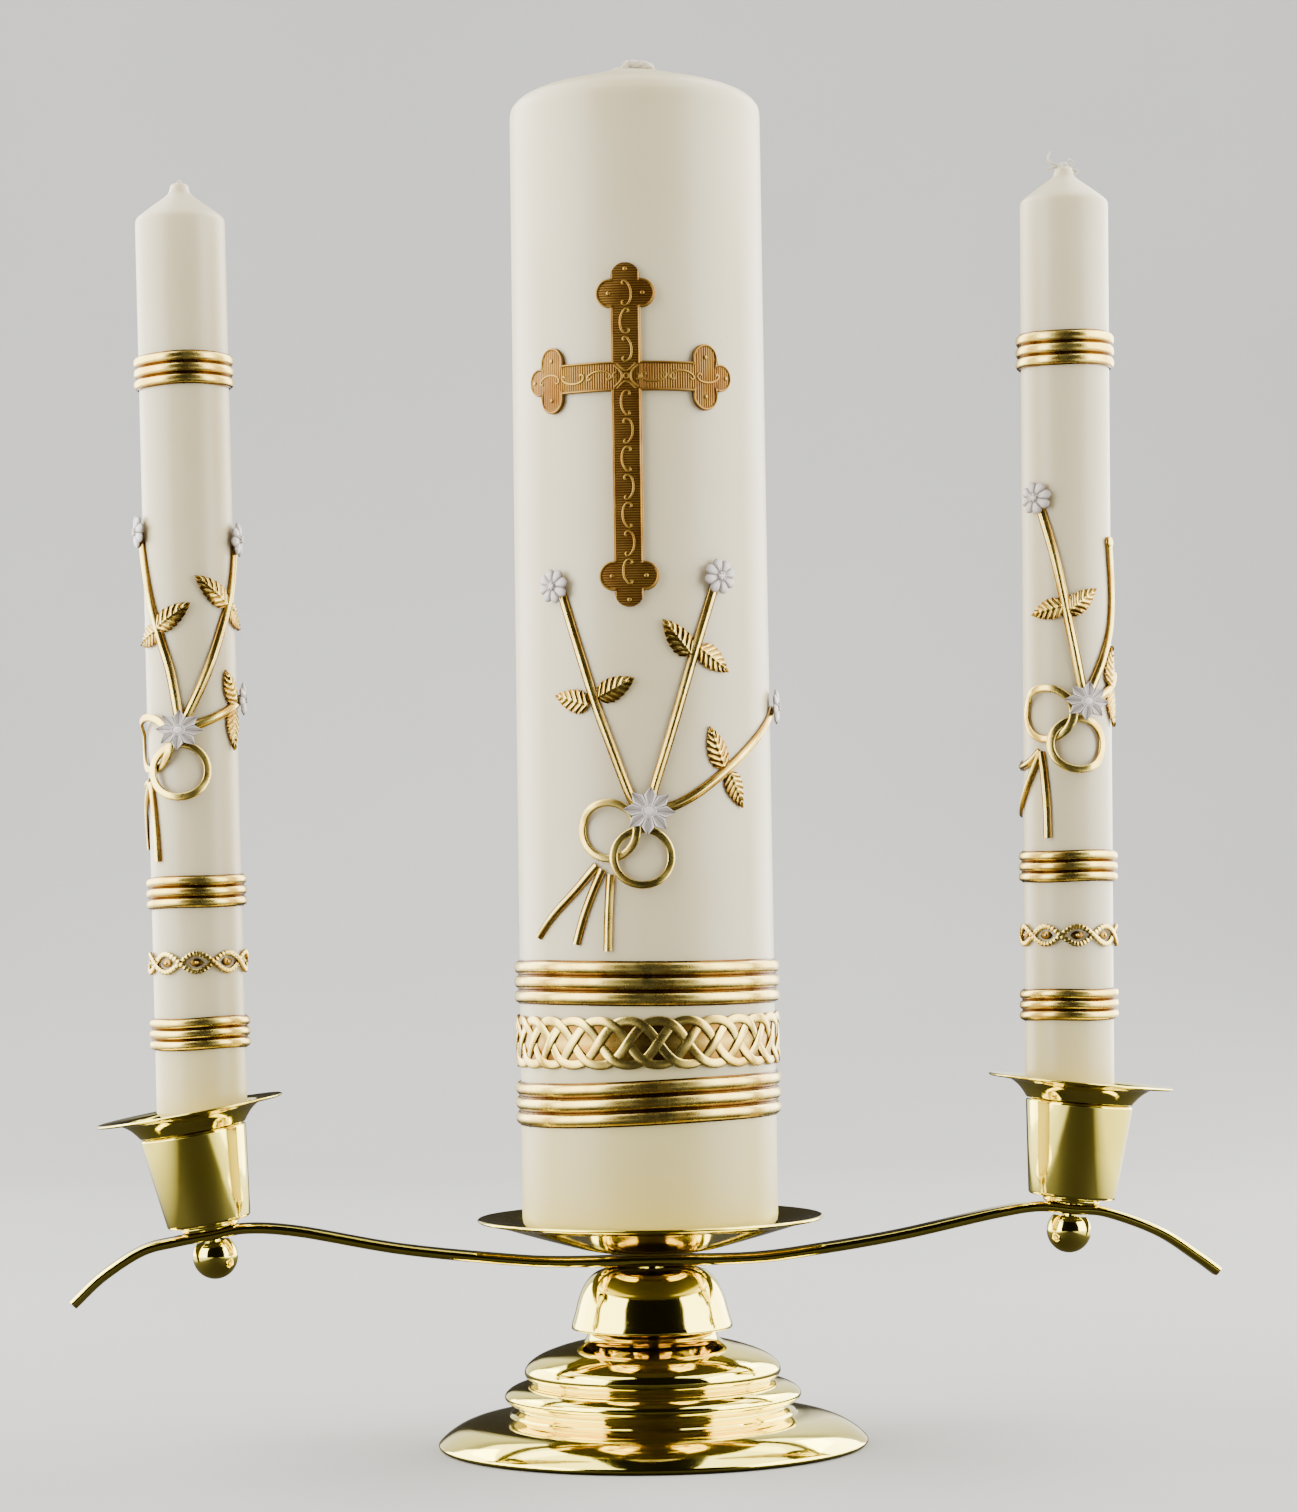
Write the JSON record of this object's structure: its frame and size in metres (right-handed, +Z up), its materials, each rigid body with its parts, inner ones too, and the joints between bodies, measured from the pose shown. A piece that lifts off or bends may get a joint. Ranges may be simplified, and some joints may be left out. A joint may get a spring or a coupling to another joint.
{
  "type": "unity candle",
  "caption": "Ivory pillar candle with pressed gold trims on a spun brass stand, with a taper candle in a cup at each end of the bent arm.",
  "frame": {"origin": "centre of the foot's bottom ring, on the table", "axes": "+Z up along the pillar, +X towards the right-hand cup seen from the front, -Y to the front, where the cross is"},
  "size_m": [0.289, 0.108, 0.3495],
  "materials": {
    "brass": "mirror polished",
    "wax": "satin ivory wax",
    "antique_gold": "antique gold leaf on pressed wax, browned in the hollows",
    "enamel": "white painted petals",
    "cotton": "plaited waxed cotton"
  },
  "bodies": {
    "stand": {"base_foot": "brass", "base_bell": "brass", "spacer_sleeve": "brass", "pillar_plate": "brass", "tie_rod": "brass", "base_washer": "brass", "base_nut": "brass"},
    "arm": {"arm": "brass", "left_cup": "brass", "left_drip_pan": "brass", "left_cup_screw": "brass", "right_cup": "brass", "right_drip_pan": "brass", "right_cup_screw": "brass"},
    "pillar": {"pillar_wax": "wax", "pillar_wick": "cotton", "cross": "antique_gold", "upper_band": "antique_gold", "lower_band": "antique_gold", "plait_band": "antique_gold", "stem_left": "antique_gold", "stem_middle": "antique_gold", "stem_right": "antique_gold", "leaf_1": "antique_gold", "leaf_2": "antique_gold", "leaf_3": "antique_gold", "leaf_4": "antique_gold", "leaf_5": "antique_gold", "leaf_6": "antique_gold", "ring_left": "antique_gold", "ring_right": "antique_gold", "pillar_ribbon": "antique_gold", "flower_left": "enamel", "flower_middle": "enamel", "flower_right": "enamel", "flower_centre": "enamel"},
    "left_taper": {"left_taper_wax": "wax", "left_taper_wick": "cotton", "left_top_band": "antique_gold", "left_middle_band": "antique_gold", "left_low_band": "antique_gold", "left_braid": "antique_gold", "left_spray": "antique_gold", "left_ring_upper": "antique_gold", "left_ring_lower": "antique_gold", "left_ribbon": "antique_gold"},
    "right_taper": {"right_taper_wax": "wax", "right_taper_wick": "cotton", "right_top_band": "antique_gold", "right_middle_band": "antique_gold", "right_low_band": "antique_gold", "right_braid": "antique_gold", "right_spray": "antique_gold", "right_ring_upper": "antique_gold", "right_ring_lower": "antique_gold", "right_ribbon": "antique_gold"},
    "left_ball": {"left_ball_nut": "brass"},
    "right_ball": {"right_ball_nut": "brass"}
  },
  "joints": [
    {"name": "arm_swivel", "type": "hinge", "parent": "stand", "child": "arm", "pos_m": [0, 0, 0.0462], "axis": [0, 0, 1], "range_deg": [-90, 90]},
    {"name": "pillar_lift", "type": "slide", "parent": "stand", "child": "pillar", "axis": [0, 0, 1], "range_m": [0, 0.06]},
    {"name": "left_taper_lift", "type": "slide", "parent": "arm", "child": "left_taper", "axis": [-0.0147, 0, 0.9999], "range_m": [0, 0.04]},
    {"name": "right_taper_lift", "type": "slide", "parent": "arm", "child": "right_taper", "axis": [0.012, 0, 0.9999], "range_m": [0, 0.04]},
    {"name": "left_ball_turn", "type": "hinge", "parent": "arm", "child": "left_ball", "pos_m": [-0.1086, 0, 0.04937], "axis": [-0.165, 0, 0.9863], "continuous": true},
    {"name": "right_ball_turn", "type": "hinge", "parent": "arm", "child": "right_ball", "pos_m": [0.10609, 0, 0.05129], "axis": [0.1011, 0, 0.9949], "continuous": true}
  ]
}
